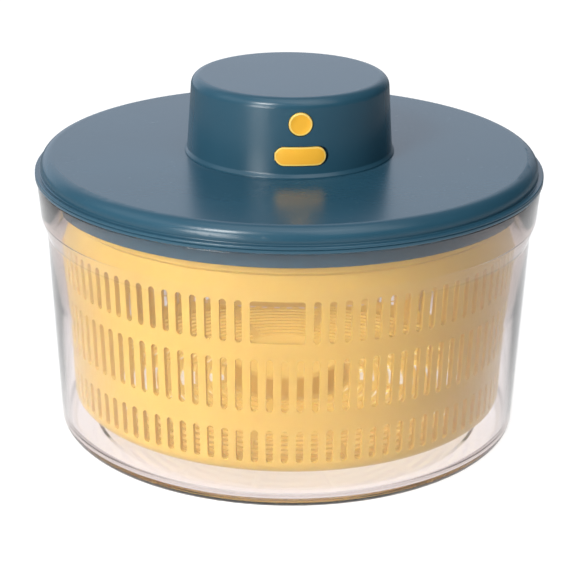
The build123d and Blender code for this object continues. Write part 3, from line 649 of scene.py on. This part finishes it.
def round_corners(piece, corners, bends):
    """Rounds each corner that has a third value, its radius in millimetres."""
    for before, corner, after in zip(corners, corners[1:], corners[2:]):
        if len(corner) < 3:
            continue
        here = Vector((corner[0], 0, corner[1]))
        arriving = here - Vector((before[0], 0, before[1]))
        leaving = Vector((after[0], 0, after[1])) - here
        pick(piece, "verts", lambda place, part: (place - here * MM).length < SAME_PLACE)
        offset = corner[2] * math.tan(arriving.angle(leaving) / 2) * MM
        bpy.ops.mesh.bevel(offset=offset, offset_type="OFFSET", segments=bends, affect="VERTICES")


# %% Spin the section
LATHE_STEPS = 240
CORNER_BENDS = 6
SEAM_GAP = 0.001 * MM


def turn_on_lathe(name, corners):
    """Closed round body from half of its section."""
    piece = draw_section(name, corners)
    round_corners(piece, corners, CORNER_BENDS)
    bpy.ops.mesh.select_all(action="SELECT")
    bpy.ops.mesh.spin(steps=LATHE_STEPS, angle=math.tau, center=(0, 0, 0), axis=(0, 0, 1))
    bpy.ops.mesh.select_all(action="SELECT")
    bpy.ops.mesh.remove_doubles(threshold=SEAM_GAP)
    bpy.ops.mesh.normals_make_consistent(inside=False)
    bpy.ops.object.mode_set(mode="OBJECT")
    return piece

# %% [markdown]
# The section starts under the foot, goes up the outside, over the rim, down the inside, and ends on the boss that
# holds the steel pin. Its measures come from the fixed bowl's box, so the spun bowl is exactly as wide and as high.
# Each corner is a radius, a height and, where it is rounded, the radius of the rounding, all in millimetres.

# %% Spin the bowl
bowl_low, bowl_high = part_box("bowl")
rim_r, rim_z = 1000 * bowl_high.x, 1000 * bowl_high.z
pin_low, pin_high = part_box("pivot_pin")
pin_r, pin_foot = 1000 * pin_high.x, 1000 * pin_low.z
WALL = 2.2
SHOULDER_IN, SHOULDER_DOWN = 1.4, 18.5
WAIST_IN, WAIST_DOWN = 4.3, 27.5
FOOT_IN = 9.0
HOLLOW_R, HOLLOW_EDGE_R, HOLLOW_TOP = 100, 101.5, 1.2
FLOOR_TOP = 3.8
BOSS_FOOT_R, BOSS_R, BOSS_TOP = 12, 6.4, 13
RING_Z, RING_HALF, RING_RISE = 71.5, 3, 0.04

SHOULDER = (rim_r - SHOULDER_IN, rim_z - SHOULDER_DOWN)
WAIST = (rim_r - WAIST_IN, rim_z - WAIST_DOWN)
FOOT_R = rim_r - FOOT_IN
wall_slope = (WAIST[0] - FOOT_R) / WAIST[1]
ring_r = FOOT_R + wall_slope * RING_Z
bowl_section = (
    (0, HOLLOW_TOP), (HOLLOW_R, HOLLOW_TOP), (HOLLOW_EDGE_R, 0, 0.6), (FOOT_R, 0, 6),
    (ring_r - RING_HALF * wall_slope, RING_Z - RING_HALF, 0.8), (ring_r + RING_RISE, RING_Z, 1.0),
    (ring_r + RING_HALF * wall_slope, RING_Z + RING_HALF, 0.8), (*WAIST, 1.0), (*SHOULDER, 1.0),
    (rim_r, rim_z, 0.8), (rim_r - WALL, rim_z, 0.6), (SHOULDER[0] - WALL, SHOULDER[1], 2.5),
    (WAIST[0] - WALL, WAIST[1], 2.5), (FOOT_R - WALL, FLOOR_TOP, 7), (BOSS_FOOT_R, FLOOR_TOP, 3),
    (BOSS_R, BOSS_TOP, 1), (pin_r, BOSS_TOP), (pin_r, pin_foot), (0, pin_foot),
)
clear_bowl = turn_on_lathe("clear_bowl", bowl_section)
settle(clear_bowl, "bowl_body", "clear_bowl", finishes["clear_bowl"], "bowl")

# %% [markdown]
# ## The push button
#
# The button is a short plug of soft-touch plastic. Its rim is rounded, and the face inside it is sunk by a hair, so
# that the thumb finds it: that rim catches the light as a thin bright ring, which a painted highlight in its finish
# makes paler still. A cylinder is the right start, because it only needs its front edge bevelled and its face inset.

# %% Start the button and tilt its face
BUTTON_R = 5.7 * MM
BUTTON_SIDES = 128
DOME_TAPER, DOME_HEIGHT = 2.5, 38.6
DOME_LEAN = math.atan(DOME_TAPER / DOME_HEIGHT)
FACE_SET_BACK = 0.25 * MM

button_front, button_back = button_low.y, button_high.y
button_z = button_middle[1]
deselect()
bpy.ops.mesh.primitive_cylinder_add(
    vertices=BUTTON_SIDES, radius=BUTTON_R, depth=button_back - button_front, rotation=(math.pi / 2, 0, 0),
    location=(0, (button_front + button_back) / 2, button_z))
button = bpy.context.object
button.name = "push_button"
bpy.ops.object.transform_apply(location=True, rotation=True, scale=True)
bpy.ops.object.mode_set(mode="EDIT")
bpy.ops.mesh.select_mode(type="FACE")
turned = pick(button, "faces", lambda place, part: part.normal.y < -0.9)
bpy.ops.transform.rotate(value=-DOME_LEAN, orient_axis="X", center_override=(0, button_front, button_z))
bpy.ops.transform.translate(value=(0, FACE_SET_BACK, 0))
print("faces leaned with the dome", turned)

# %% Round its rim, sink its face and add the flange behind
EDGE_ROUNDING, EDGE_BENDS = 0.45 * MM, 5
RIM_WIDTH = 0.35 * MM
RIM_SLOPE, RIM_DEPTH = 0.3 * MM, 0.14 * MM
DISH_WIDTH, DISH_DEPTH = 2.2 * MM, 0.05 * MM
FLANGE_SCALE = 1.158
FLANGE_THICKNESS = 0.9 * MM

bpy.ops.mesh.bevel(offset=EDGE_ROUNDING, segments=EDGE_BENDS, affect="EDGES")
pick(button, "faces", lambda place, part: part.normal.y < -0.97 and len(part.verts) > BUTTON_SIDES / 2)
bpy.ops.mesh.inset(thickness=RIM_WIDTH, depth=0)
bpy.ops.mesh.inset(thickness=RIM_SLOPE, depth=-RIM_DEPTH)
bpy.ops.mesh.inset(thickness=DISH_WIDTH, depth=-DISH_DEPTH)
pick(button, "faces", lambda place, part: part.normal.y > 0.9)
bpy.ops.mesh.extrude_region_move()
bpy.ops.transform.resize(value=(FLANGE_SCALE, 1, FLANGE_SCALE), center_override=(0, button_back, button_z))
bpy.ops.mesh.extrude_region_move(TRANSFORM_OT_translate={"value": (0, -FLANGE_THICKNESS, 0)})
bpy.ops.object.mode_set(mode="OBJECT")
settle(button, "button_body", "button_yellow", finishes["button_yellow"], "power_button")
print("button front at", [round(1000 * v, 2) for v in button.bound_box[0]])

# %% [markdown]
# ## The port cover
#
# The soft cover over the charging port is a pill-shaped pad that follows the dome's round face, with a plug behind
# it. The engineering part already has the exact curve, so the quickest honest way is to copy it, merge the copy's
# loose triangles, melt the ones that lie flat together, and roll its sharp edges over with a bevel.

# %% Soften a copy of an engineering part
LOOSE_GAP = 0.002 * MM
LIES_FLAT = math.radians(1.5)
IS_SHARP = math.radians(35)
PAD_ROUNDING, PAD_BENDS = 0.35 * MM, 4


def softened(node, name, radius, segments):
    """Copy of an engineering part with its sharp edges rounded."""
    only(nodes[node])
    bpy.ops.object.duplicate()
    piece = bpy.context.object
    piece.name = name
    piece.parent = None
    bpy.ops.object.mode_set(mode="EDIT")
    bpy.ops.mesh.select_all(action="SELECT")
    bpy.ops.mesh.remove_doubles(threshold=LOOSE_GAP)
    bpy.ops.mesh.dissolve_limited(angle_limit=LIES_FLAT)
    bpy.ops.object.mode_set(mode="OBJECT")
    use_modifier(piece, "BEVEL", width=radius, segments=segments, limit_method="ANGLE",
                 angle_limit=IS_SHARP, harden_normals=False)
    return piece


port_pad = softened("port_cover", "port_pad", PAD_ROUNDING, PAD_BENDS)
settle(port_pad, "cover_body", "cover_yellow", finishes["cover_yellow"], "port_cover")
